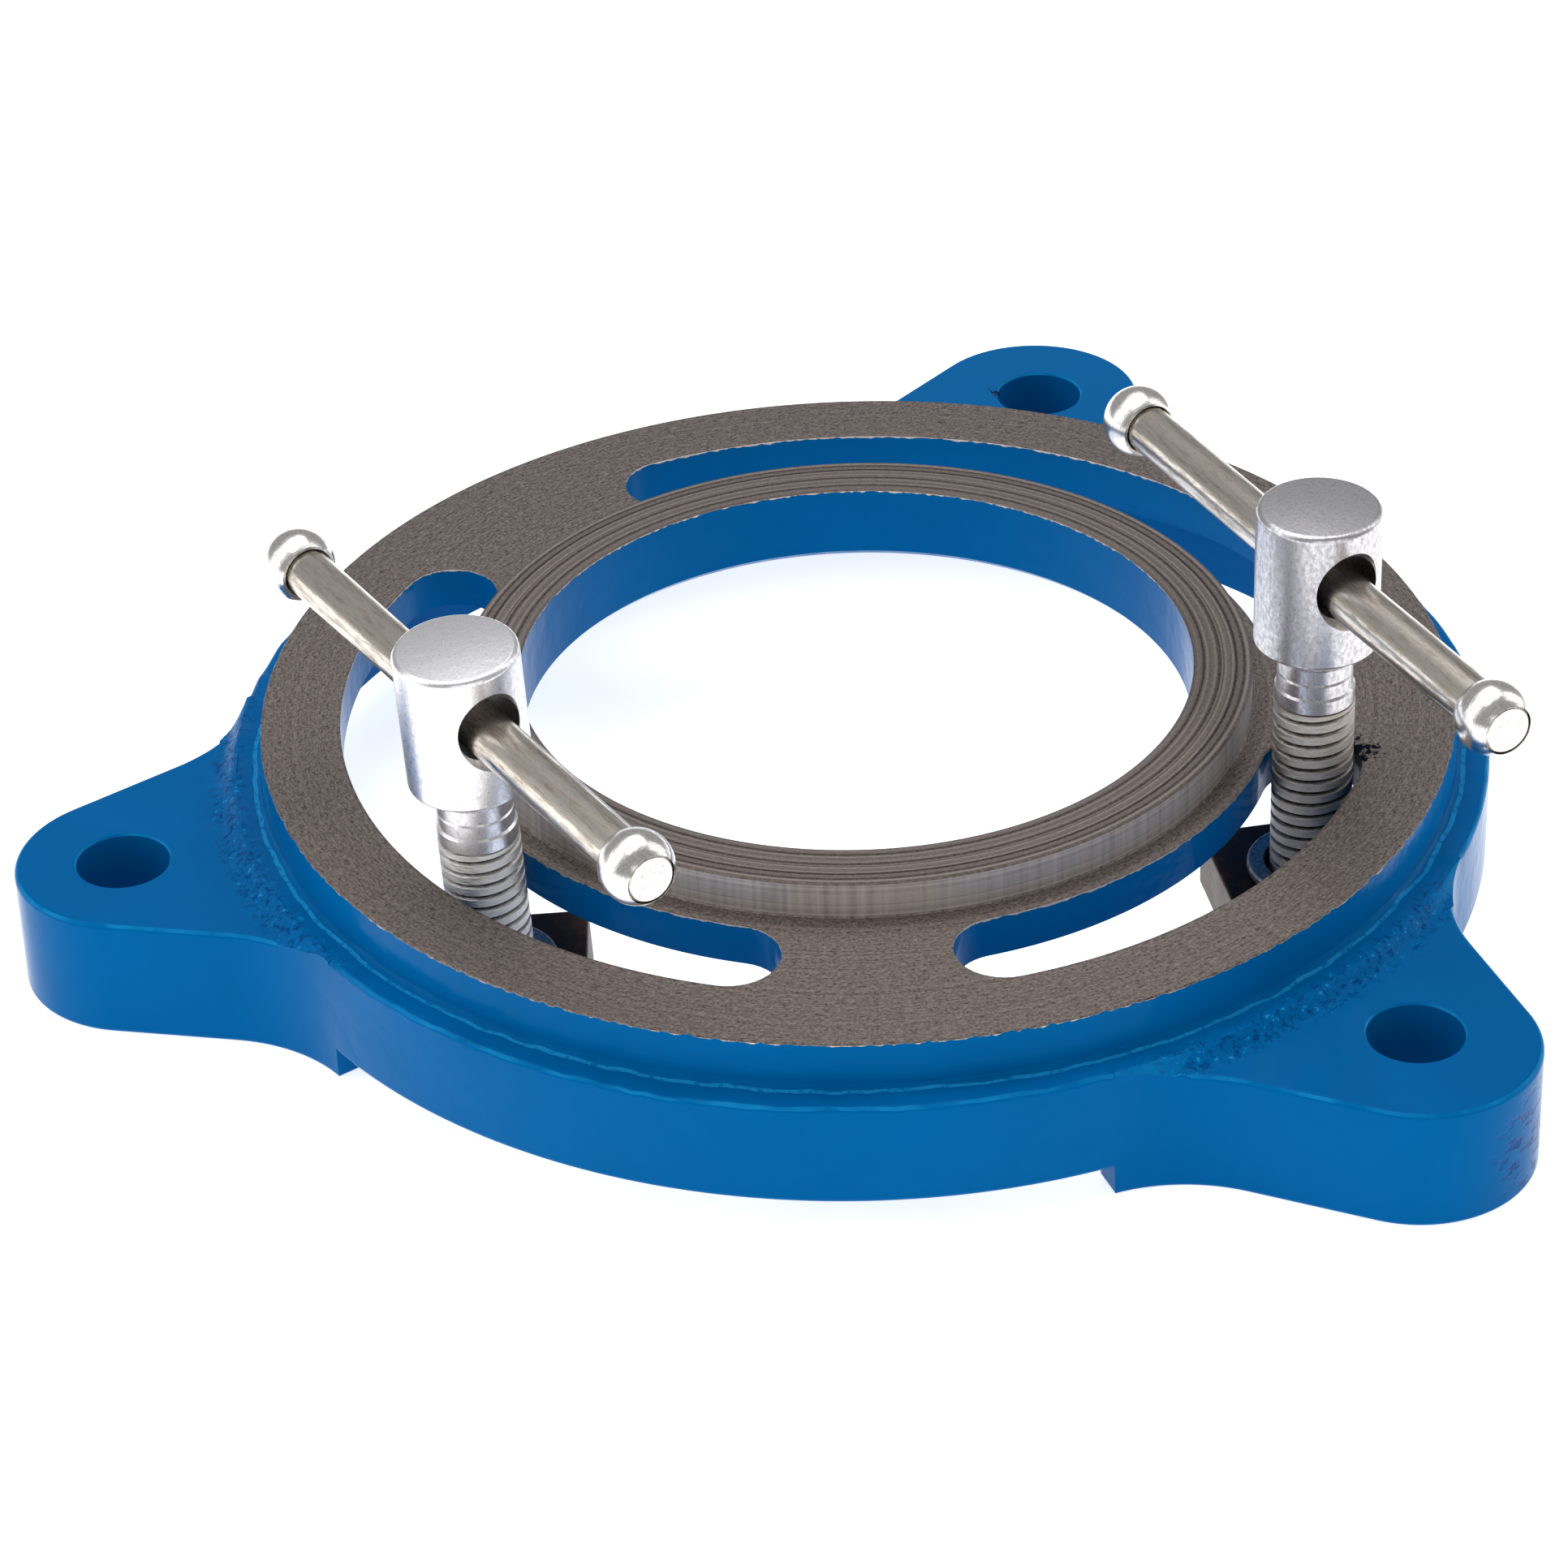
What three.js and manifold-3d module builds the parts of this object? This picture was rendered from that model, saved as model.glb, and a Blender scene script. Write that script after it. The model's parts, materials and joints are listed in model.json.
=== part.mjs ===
// Swivel base for a bench vise: a cast ring with three bolting lugs and three arc slots, and two
// clamp screws that ride in the slots, each with a sliding tommy bar, a washer and a clamp plate.
// Millimetres, +Z up. The origin is the middle of the footprint, on the bench.
import * as THREE from 'three';
import { mergeVertices } from 'three/addons/utils/BufferGeometryUtils.js';
import Module from 'manifold-3d';

const wasm = await Module();
wasm.setup();

// Driving dimensions.
const flangeRadius = 99.5; // the casting between its lugs
const faceHeight = 29.5; // bench to machined face
const ledgeWidth = 5.5; // flange edge in to the raised ring
const outerBand = 12.55; // machined face outside the slots
const spigotStep = 3.9; // machined face between the slots and the raised pivot ring
const spigotWall = 9.25; // pivot ring, radially: the vise turns on it
const spigotHeight = 6;
const plateThickness = 6.7; // slotted plate under the face
const flangeHeight = 22; // bench to the ledge round the foot of the raised ring
const skirtLift = 5; // the flange stops short of the bench between the lugs
const skirtWall = 5.5;
const channelWall = 5.5; // wall behind the raised face ring
const channelHeadroom = 3.2; // top of the clamp plates up to where the channel narrows
const channelRound = 2.4; // fillet under the slotted plate
const wallDraft = 0.4; // the raised ring spreads this much towards its foot
const castRound = 0.9; // rounded edges of the flange and lugs, and the fillet at the ring's foot
const edgeBreak = 0.5;

const lugHeight = 20.2;
const lugReach = 16.5; // flange edge out to the middle of a lug's end
const lugEndRadius = 18.3;
const lugTaper = 23.5; // degrees, each flank to the lug's own axis
const lugRootRadius = 26;
const lugHoleRadius = 7.25;
// Where each lug points, and how far its hole is off the middle of its end, in degrees and outwards.
const lugs = [
  { angle: 30, holeTurn: -0.5, holeShift: 0.2 },
  { angle: 150, holeTurn: 0.1, holeShift: 1.5 },
  { angle: 270, holeTurn: 0.6, holeShift: -1.4 },
];

const shortSlotSpan = 66.6; // tip to tip, degrees, centred on the lug at 270
const longSlotSpan = 113.3;
const sideWebSpan = 19.9; // between the short slot's tips and the long slots'

const threadRadius = 6.35;
const neckRelief = 0.55; // the neck is this much under the thread's radius
const neckLength = 7.6;
const collarRelief = 0.2; // between the neck and the thread
const plainLength = 10.4; // under the head to the first thread
const tipChamfer = 1.2;
const headRadius = 9.5;
const headLength = 23;
const headChamfer = 0.8;
const crossHoleDrop = 10; // head top to the hole's axis
const barRadius = 3.75;
const barLength = 108;
const capRim = 1.85; // the cap stands out this far round the bar
const capInset = 4; // bar end to the widest part of its cap
const capInnerLength = 3.3; // widest part to the cap's inner face
const clampPlateThickness = 9.5;
const clampPlateEdge = 0.6;
const clampPlateMouth = 1; // countersink at the threaded hole
const washerWall = 2.75; // the washer's hole to its rim
const washerThickness = 1.7;
const washerEdge = 0.35;

const threadClearance = 0.3; // between the plain thread cylinder and what it runs in
const slotClearance = 1.3; // the thread in the slot, each side
const barClearance = 1.45; // the bar in the head's cross hole, all round
const cornerClearance = 0.4; // a clamp plate's corner and the skirt
const tipClearance = 0.6; // the lower screw's tip and the bench
const endClearance = 0.08; // the right screw and the middle of its slot's round end
const washerClearance = 0.65; // the washer is loose on the thread
const restClearance = 0.3; // between pieces that lie on each other
const capClearance = 0.2; // between the bar and its caps

const roundSegments = 96; // the casting
const pinSegments = 32; // turned pieces
const cutMargin = 1; // cutters run past the faces they cut

const lookOf = {
  paint: { color: 0x0062a6, roughness: 0.3, metalness: 0 },
  zinc: { color: 0xc9c9cb, roughness: 0.3, metalness: 1 },
  nickel: { color: 0xb3aca3, roughness: 0.35, metalness: 1 },
  steel: { color: 0x5b5d60, roughness: 0.45, metalness: 1 },
  scale: { color: 0x3a302b, roughness: 0.7, metalness: 0.6 },
};

// Worked out from them.
const radians = THREE.MathUtils.degToRad;
const slotWidth = 2 * (threadRadius + slotClearance);
const faceRadius = flangeRadius - ledgeWidth;
const slotRadius = faceRadius - outerBand - slotWidth / 2;
const spigotRadius = slotRadius - slotWidth / 2 - spigotStep;
const boreRadius = spigotRadius - spigotWall;
const lugPitchRadius = flangeRadius + lugReach;
const neckRadius = threadRadius - neckRelief;
const collarRadius = threadRadius - collarRelief;
const crossHoleRadius = barRadius + barClearance;
const capRadius = barRadius + capRim;
const washerRadius = threadRadius + washerClearance + washerWall;
const clampPlateWidth = Math.SQRT2 * (flangeRadius - skirtWall - slotRadius - cornerClearance);
const plateUnderside = faceHeight - plateThickness;
const ringCentreY = (lugPitchRadius + lugEndRadius - flangeRadius) / 2; // middle of the footprint at 0
const slotEndAngle = THREE.MathUtils.radToDeg(slotWidth / 2 / slotRadius);
const slotMiddle = { short: 270, long: 270 + (shortSlotSpan + longSlotSpan) / 2 + sideWebSpan };
const pivotHeight = faceHeight - plateThickness / 2;
const lastInSlot = slotMiddle.short + shortSlotSpan / 2 - slotEndAngle
  - THREE.MathUtils.radToDeg(endClearance / slotRadius);

// Each screw stands in its slot where it was left: its angle round the ring, its lean out of
// upright, how far its head stands above the face, the turn of its bar and of its clamp plate
// (from the radius, in degrees) and how far the bar has slid through the head.
const screws = [
  { side: 'right', angle: lastInSlot, lean: 0, headAbove: 22.65, barTurn: -44, plateTurn: 29.4, barSlide: 2.95 },
  { side: 'left', angle: 176.1, lean: 3, headAbove: 17.5, barTurn: 82.7, plateTurn: 51.2, barSlide: 0.8 },
];
const lowestHead = Math.min(...screws.map(({ headAbove }) => headAbove));
const shankLength = faceHeight + lowestHead - tipClearance; // under the head to the tip

// Shapes.
function signedVolume(positions, indices) {
  const corners = [new THREE.Vector3(), new THREE.Vector3(), new THREE.Vector3()];
  let volume = 0;
  for (let i = 0; i < indices.length; i += 3) {
    corners.forEach((corner, k) => corner.fromArray(positions, 3 * indices[i + k]));
    volume += corners[0].dot(corners[1].clone().cross(corners[2])) / 6;
  }
  return volume;
}

// A closed geometry as a solid: shared corners merged, triangles that vanish on an axis left out
// and the faces turned outwards.
function solid(geometry) {
  geometry.deleteAttribute('normal');
  geometry.deleteAttribute('uv');
  const merged = mergeVertices(geometry, 1e-5);
  const positions = merged.attributes.position.array;
  const all = Array.from(merged.index.array);
  const kept = [];
  for (let i = 0; i < all.length; i += 3) {
    const [a, b, c] = all.slice(i, i + 3);
    if (a !== b && b !== c && c !== a) kept.push(a, b, c);
  }
  if (signedVolume(positions, kept) < 0) kept.reverse();
  return new wasm.Manifold(new wasm.Mesh({
    numProp: 3,
    vertProperties: new Float32Array(positions),
    triVerts: new Uint32Array(kept),
  }));
}

function geometryOf(manifold) {
  const { vertProperties, triVerts } = manifold.getMesh();
  const geometry = new THREE.BufferGeometry();
  geometry.setAttribute('position', new THREE.BufferAttribute(vertProperties, 3));
  geometry.setIndex(new THREE.BufferAttribute(triVerts, 1));
  return geometry;
}

// Points round an arc from one angle to another, in degrees.
function arc(centre, radius, from, to, steps = 4) {
  return Array.from({ length: steps + 1 }, (_, i) => {
    const angle = radians(from + (to - from) * i / steps);
    return [centre[0] + radius * Math.cos(angle), centre[1] + radius * Math.sin(angle)];
  });
}

const asPoints = (pairs) => pairs.map(([x, y]) => new THREE.Vector2(x, y));

// A turned solid about Z. The profile is a list of [radius, height].
function turned(profile, segments = pinSegments) {
  const points = profile.map(([radius, height]) => new THREE.Vector2(radius, height));
  if (profile[0][0] > 0) points.push(points[0].clone());
  return solid(new THREE.LatheGeometry(points, segments).rotateX(Math.PI / 2));
}

function cylinder(radius, length, segments = pinSegments) {
  return solid(new THREE.CylinderGeometry(radius, radius, length, segments).rotateX(Math.PI / 2));
}

// A plate with this outline, standing on height 0, with its edges rounded.
function extruded(outline, height, edge) {
  return solid(new THREE.ExtrudeGeometry(new THREE.Shape(outline), {
    depth: height - 2 * edge,
    bevelEnabled: edge > 0,
    bevelThickness: edge,
    bevelSize: edge,
    bevelOffset: -edge,
    bevelSegments: 3,
  }).translate(0, 0, edge));
}

// The casting.
// The whole ring down to the skirt's foot, its underside still solid.
function castingRing() {
  const foot = faceRadius + wallDraft;
  const top = faceHeight + spigotHeight;
  return turned([
    [boreRadius, skirtLift],
    [boreRadius, top - edgeBreak],
    [boreRadius + edgeBreak, top],
    [spigotRadius - edgeBreak, top],
    [spigotRadius, top - edgeBreak],
    [spigotRadius, faceHeight],
    [faceRadius, faceHeight],
    ...arc([foot + castRound, flangeHeight + castRound], castRound, 180, 270),
    ...arc([flangeRadius - castRound, flangeHeight - castRound], castRound, 90, 0),
    ...arc([flangeRadius - castRound, skirtLift + castRound], castRound, 0, -90),
  ], roundSegments);
}

// The space under the plate, open to the bench, where the clamp plates travel.
function channelSpace() {
  const wide = flangeRadius - skirtWall;
  const narrow = faceRadius - channelWall;
  const narrows = restClearance + clampPlateThickness + channelHeadroom;
  const narrowed = Math.min(narrows + wide - narrow, plateUnderside - channelRound);
  const profile = [
    [0, -cutMargin],
    [wide, -cutMargin],
    [wide, narrows],
    [narrow, narrowed],
    ...arc([narrow - channelRound, plateUnderside - channelRound], channelRound, 0, 90),
    [0, plateUnderside],
  ];
  return turned(profile, roundSegments);
}

// One lug seen from above, along +X: a round end, two straight flanks and hollow roots that run
// into the flange.
function lugOutline() {
  const taper = radians(lugTaper);
  const normal = new THREE.Vector2(Math.sin(taper), Math.cos(taper)); // of the upper flank
  const inward = new THREE.Vector2(-Math.cos(taper), Math.sin(taper));
  const reach = lugPitchRadius * Math.sin(taper) + lugEndRadius + lugRootRadius;
  const back = Math.sqrt((flangeRadius + lugRootRadius) ** 2 - reach ** 2);
  const root = normal.clone().multiplyScalar(reach).addScaledVector(inward, -back);
  const flank = 90 - lugTaper;
  const meets = THREE.MathUtils.radToDeg(root.angle());
  return asPoints([
    ...arc([0, 0], spigotRadius, meets, -meets),
    ...arc([root.x, -root.y], lugRootRadius, 180 - meets, 180 - flank, 8),
    ...arc([lugPitchRadius, 0], lugEndRadius, -flank, flank, 24),
    ...arc([root.x, root.y], lugRootRadius, flank - 180, meets - 180, 8),
  ]);
}

function arcSlot(middle, span) {
  const from = middle - span / 2 + slotEndAngle;
  const to = middle + span / 2 - slotEndAngle;
  const half = slotWidth / 2;
  const end = (angle) => [slotRadius * Math.cos(radians(angle)), slotRadius * Math.sin(radians(angle))];
  const steps = Math.round((to - from) * roundSegments / 360);
  return extruded(asPoints([
    ...arc([0, 0], slotRadius + half, from, to, steps),
    ...arc(end(to), half, to, to + 180, 12).slice(1),
    ...arc([0, 0], slotRadius - half, to, from, steps).slice(1),
    ...arc(end(from), half, from + 180, from + 360, 12).slice(1, -1),
  ]), plateThickness + 2 * cutMargin, 0).translate([0, 0, plateUnderside - cutMargin]);
}

function casting() {
  let body = castingRing();
  for (const { angle } of lugs) {
    body = body.add(extruded(lugOutline(), lugHeight, castRound).rotate([0, 0, angle]));
  }
  body = body.subtract(channelSpace());
  body = body.subtract(arcSlot(slotMiddle.short, shortSlotSpan));
  for (const middle of [slotMiddle.long, 180 - slotMiddle.long]) {
    body = body.subtract(arcSlot(middle, longSlotSpan));
  }
  for (const { angle, holeTurn, holeShift } of lugs) {
    const hole = cylinder(lugHoleRadius, lugHeight + 2 * cutMargin)
      .translate([lugPitchRadius + holeShift, 0, lugHeight / 2]).rotate([0, 0, angle + holeTurn]);
    body = body.subtract(hole);
  }
  return body;
}

// A clamp screw and what it carries.
// These stand on the screw's own axis, with height 0 at the middle of the slotted plate.
function clampScrew(headBottom, barTurn) {
  const headTop = headBottom + headLength;
  const body = turned([
    [0, headBottom - shankLength],
    [threadRadius - tipChamfer, headBottom - shankLength],
    [threadRadius, headBottom - shankLength + tipChamfer],
    [threadRadius, headBottom - plainLength - (threadRadius - collarRadius)],
    [collarRadius, headBottom - plainLength],
    [collarRadius, headBottom - neckLength - (collarRadius - neckRadius)],
    [neckRadius, headBottom - neckLength],
    [neckRadius, headBottom],
    [headRadius - edgeBreak, headBottom],
    [headRadius, headBottom + edgeBreak],
    [headRadius, headTop - headChamfer],
    [headRadius - headChamfer, headTop],
    [0, headTop],
  ]);
  const hole = cylinder(crossHoleRadius, 2 * headRadius + 2 * cutMargin).rotate([0, 90, 0])
    .translate([0, 0, headTop - crossHoleDrop]).rotate([0, 0, barTurn]);
  return body.subtract(hole);
}

function barCap() {
  const flatRadius = Math.sqrt(capRadius ** 2 - capInset ** 2);
  const flatAngle = THREE.MathUtils.radToDeg(Math.atan2(capInset, flatRadius));
  const innerAngle = THREE.MathUtils.radToDeg(Math.asin(capInnerLength / capRadius));
  const bore = barRadius + capClearance;
  return turned([
    [bore, -capInnerLength],
    ...arc([0, 0], capRadius, -innerAngle, Math.min(flatAngle, 60), 8)
      .filter(([radius]) => radius > bore + edgeBreak / 2),
    [bore, capInset],
  ]);
}

function washer() {
  const bore = threadRadius + washerClearance;
  return turned([
    [bore, 0],
    [washerRadius - washerEdge, 0],
    [washerRadius, washerEdge],
    [washerRadius, washerThickness - washerEdge],
    [washerRadius - washerEdge, washerThickness],
    [bore, washerThickness],
  ]);
}

function clampPlate() {
  const half = clampPlateWidth / 2;
  const square = asPoints([[-half, -half], [half, -half], [half, half], [-half, half]]);
  const bore = threadRadius + threadClearance;
  const hole = turned([
    [0, -cutMargin],
    [bore, -cutMargin],
    [bore, clampPlateThickness - clampPlateMouth],
    [bore + clampPlateMouth + cutMargin, clampPlateThickness + cutMargin],
    [0, clampPlateThickness + cutMargin],
  ]);
  return extruded(square, clampPlateThickness, clampPlateEdge).subtract(hole);
}

// Assembly.
function mesh(name, body, look) {
  const piece = new THREE.Mesh(geometryOf(body), new THREE.MeshStandardMaterial(lookOf[look]));
  piece.name = name;
  return piece;
}

function screwSet({ side, angle, lean, headAbove, barTurn, plateTurn, barSlide }) {
  const leaning = radians(lean);
  const headBottom = headAbove + plateThickness / 2;
  const tiltDrop = clampPlateWidth / Math.SQRT2 * Math.sin(leaning); // the low corner of the plate
  const plateBottom = -(pivotHeight - restClearance - tiltDrop) / Math.cos(leaning);
  const barHeight = headBottom + headLength - crossHoleDrop - (crossHoleRadius - barRadius) + restClearance;

  const set = new THREE.Group();
  set.rotation.z = radians(angle);
  const stance = new THREE.Group();
  stance.position.set(slotRadius, 0, pivotHeight);
  stance.rotation.y = leaning;
  set.add(stance);

  const plate = mesh(`clamp_plate_${side}`, clampPlate(), 'scale');
  plate.position.z = plateBottom;
  plate.rotation.z = radians(plateTurn);
  const ring = mesh(`washer_${side}`, washer(), 'steel');
  ring.position.z = plateBottom + clampPlateThickness + restClearance;
  stance.add(plate, ring, mesh(`clamp_screw_${side}`, clampScrew(headBottom, barTurn), 'zinc'));

  const barLine = new THREE.Group(); // +X towards the bar's near end
  barLine.position.z = barHeight;
  barLine.rotation.z = radians(barTurn);
  const bar = mesh(`tommy_bar_${side}`, cylinder(barRadius, barLength), 'nickel');
  bar.rotation.y = Math.PI / 2;
  bar.position.x = -barSlide;
  barLine.add(bar);
  [['near', 1], ['far', -1]].forEach(([end, way]) => {
    const cap = mesh(`bar_cap_${side}_${end}`, barCap(), 'zinc');
    cap.rotation.y = way * Math.PI / 2;
    cap.position.x = way * (barLength / 2 - capInset) - barSlide;
    barLine.add(cap);
  });
  stance.add(barLine);
  return set;
}

const base = new THREE.Group();
base.position.y = ringCentreY;
base.add(mesh('base_casting', casting(), 'paint'), ...screws.map(screwSet));

const swivelBase = new THREE.Group();
swivelBase.add(base);

export default swivelBase;
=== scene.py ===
# Swivel base of a bench vise: enamelled casting, two clamp screws with tommy bars, washers, clamp plates.
import json
from math import radians, degrees, sin, cos, pi, sqrt, atan2, hypot
import bpy
import bmesh
from mathutils import Matrix, Vector, noise


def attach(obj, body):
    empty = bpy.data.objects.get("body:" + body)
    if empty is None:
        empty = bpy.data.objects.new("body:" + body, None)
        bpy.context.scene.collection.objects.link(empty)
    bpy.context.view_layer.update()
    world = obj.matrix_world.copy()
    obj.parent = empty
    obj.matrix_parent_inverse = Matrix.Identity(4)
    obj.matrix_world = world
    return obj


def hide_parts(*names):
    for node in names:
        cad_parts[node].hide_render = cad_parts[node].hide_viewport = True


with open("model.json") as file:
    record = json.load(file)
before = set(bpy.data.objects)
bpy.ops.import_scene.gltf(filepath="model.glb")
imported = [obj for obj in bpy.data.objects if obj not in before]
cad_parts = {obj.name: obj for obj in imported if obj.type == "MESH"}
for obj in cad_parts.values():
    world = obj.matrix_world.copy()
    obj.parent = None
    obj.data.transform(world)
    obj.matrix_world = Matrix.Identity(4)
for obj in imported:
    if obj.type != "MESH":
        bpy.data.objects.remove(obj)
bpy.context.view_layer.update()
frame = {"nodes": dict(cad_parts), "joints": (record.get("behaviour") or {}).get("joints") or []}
mm = 0.001  # the sizes here are in millimetres and the scene is in metres
scene = bpy.context.scene
joints = {joint["name"]: joint for joint in frame["joints"]}
ringCentre = Vector(joints["right_sweep"]["pos_m"])
print("frame loaded:", len(frame["nodes"]), "nodes")


cameraSettings = {
    "lens": 120.73,
    "sensor": 36.0,
    "place": (-11.98, -700.9, 444.6),  # from the middle of the machined face
    "down": 33.36,                     # degrees below level
    "roll": -2.133,
    "turn": -42.7,                     # about Z, towards the front lug's right
    "faceHeight": 29.5,
    "clipStart": 50.0,
}


def addCamera(s):
    down, roll = radians(s["down"]), radians(s["roll"])
    forward = Vector((0, cos(down), -sin(down)))
    right = Vector((cos(roll), sin(down) * sin(roll), cos(down) * sin(roll)))
    up = Vector((-sin(roll), sin(down) * cos(roll), cos(down) * cos(roll)))
    turn = Matrix.Rotation(radians(s["turn"]), 4, "Z")
    axes = Matrix((right, up, -forward)).transposed().to_4x4()
    centre = ringCentre + Vector((0, 0, s["faceHeight"] * mm))
    data = bpy.data.cameras.new("camera")
    data.lens = s["lens"]
    data.sensor_width = s["sensor"]
    data.clip_start = s["clipStart"] * mm
    camera = bpy.data.objects.new("camera", data)
    scene.collection.objects.link(camera)
    camera.matrix_world = Matrix.Translation(centre) @ turn @ Matrix.Translation(Vector(s["place"]) * mm) @ axes
    scene.camera = camera


addCamera(cameraSettings)
print("camera placed")


def colour(hexValue):
    # an sRGB hex value as linear red, green, blue and full alpha
    parts = [int(hexValue[i:i + 2], 16) / 255 for i in (1, 3, 5)]
    return tuple(c / 12.92 if c <= 0.04045 else ((c + 0.055) / 1.055) ** 2.4 for c in parts) + (1.0,)


def addNode(tree, kind, inputs=None, out=0, **settings):
    # adds a node, sets it, links what is a socket, and gives back one of its outputs
    # a Mix takes 2 and 3 for numbers, 4 and 5 for vectors, 6 and 7 for colours
    node = tree.nodes.new("ShaderNode" + kind)
    for key, value in settings.items():
        setattr(node, key, value)
    for key, value in (inputs or {}).items():
        if isinstance(value, bpy.types.NodeSocket):
            tree.links.new(value, node.inputs[key])
        else:
            node.inputs[key].default_value = value
    return node.outputs[out] if out is not None else node


def newMaterial(name):
    material = bpy.data.materials.new(name)
    material.use_nodes = True
    tree = material.node_tree
    return material, tree, tree.nodes["Principled BSDF"]


def localCoords(tree, matrix):
    # object coordinates turned into a piece's own axes
    inverse = matrix.inverted()
    coords = addNode(tree, "TexCoord", out="Object")
    return addNode(tree, "Mapping", {"Vector": coords, "Location": inverse.translation,
                                     "Rotation": inverse.to_euler("XYZ")})


# A pair of sizes is where a change begins and where it is complete.
enamelLook = {
    "paint": "#00609F", "paintDeep": "#005993", "cloudSize": 18.0, "paintRoughness": 0.16,
    "glossLevel": 0.06, "glossTint": "#2FA6E8",
    # painted highlight: a paler blue along the raised ring's foot and over the flange's edges; it also tints the worn
    # grains at the lug roots
    "highlightAndThinPaint": "#1C8FC9", "speckSize": 1.3, "brokenSize": 7.0, "wander": 0.7,
    "footRadius": 95.5, "footReach": 0.33, "footLevel": 22.5, "footRise": 0.8,  # along the raised ring's foot
    "edgeFacing": 0.7, "edgeSpread": 0.22, "edgeRadius": (98.2, 98.6),          # over the flange's edges
    "lugLevel": 20.25,                                                          # the lug tops lie under this
    "pitPaint": "#02407E", "rootRadius": 99.9, "rootBand": (3.6, 1.0), "pitsIn": (0.55, 0.60), "gritIn": (0.38, 0.34),
    "pits": ((150, 30.0), (30, 22.0), (270, 24.0)),  # rough ground at the lug roots: degrees, half spread
    "scrapes": (((5.0, -133.5, 9.0), 10.0),), "furrowSize": 3.5, "furrowsIn": (0.52, 0.56),
    "chips": (((40.9, -68.1, 28.2), 5.0), ((-101.0, 57.0, 19.5), 2.4), ((96.5, 63.0, 20.2), 2.2)),
    "chipColour": "#12100F",
    "lumpSize": 6.0, "lumpStrength": 0.5, "lumpHeight": 0.5, "lumpFade": (97.5, 104.0), "peelSize": 2.2,
    "peelShare": 0.06,
    "ragSize": 1.6, "ragDepth": 0.22, "bareDepth": (0.30, 0.22), "boreEdge": (0.25, 0.35), "topDepth": (0.4, 0.3),
    "ironDark": "#443B36", "ironLight": "#9B8F87", "ironTurned": "#FFF2E6", "rimDark": "#1B1A1A",
    "rimLight": "#B9B4AC", "ironRoughness": (0.42, 0.62), "ironMetallic": 0.75, "ironBump": 0.14,
    # the grain and the tool's rings are coarser than real ones, which would be too fine to show
    "grainSize": 0.5, "ringWidth": 0.28, "streak": 1.5, "streakRadius": 78, "ringPitch": 0.9, "bandPitch": 0.7,
    "chatterCount": 300, "spigotEdge": (62.6, 61.8), "marksShare": (0.08, 0.62),
}


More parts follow.
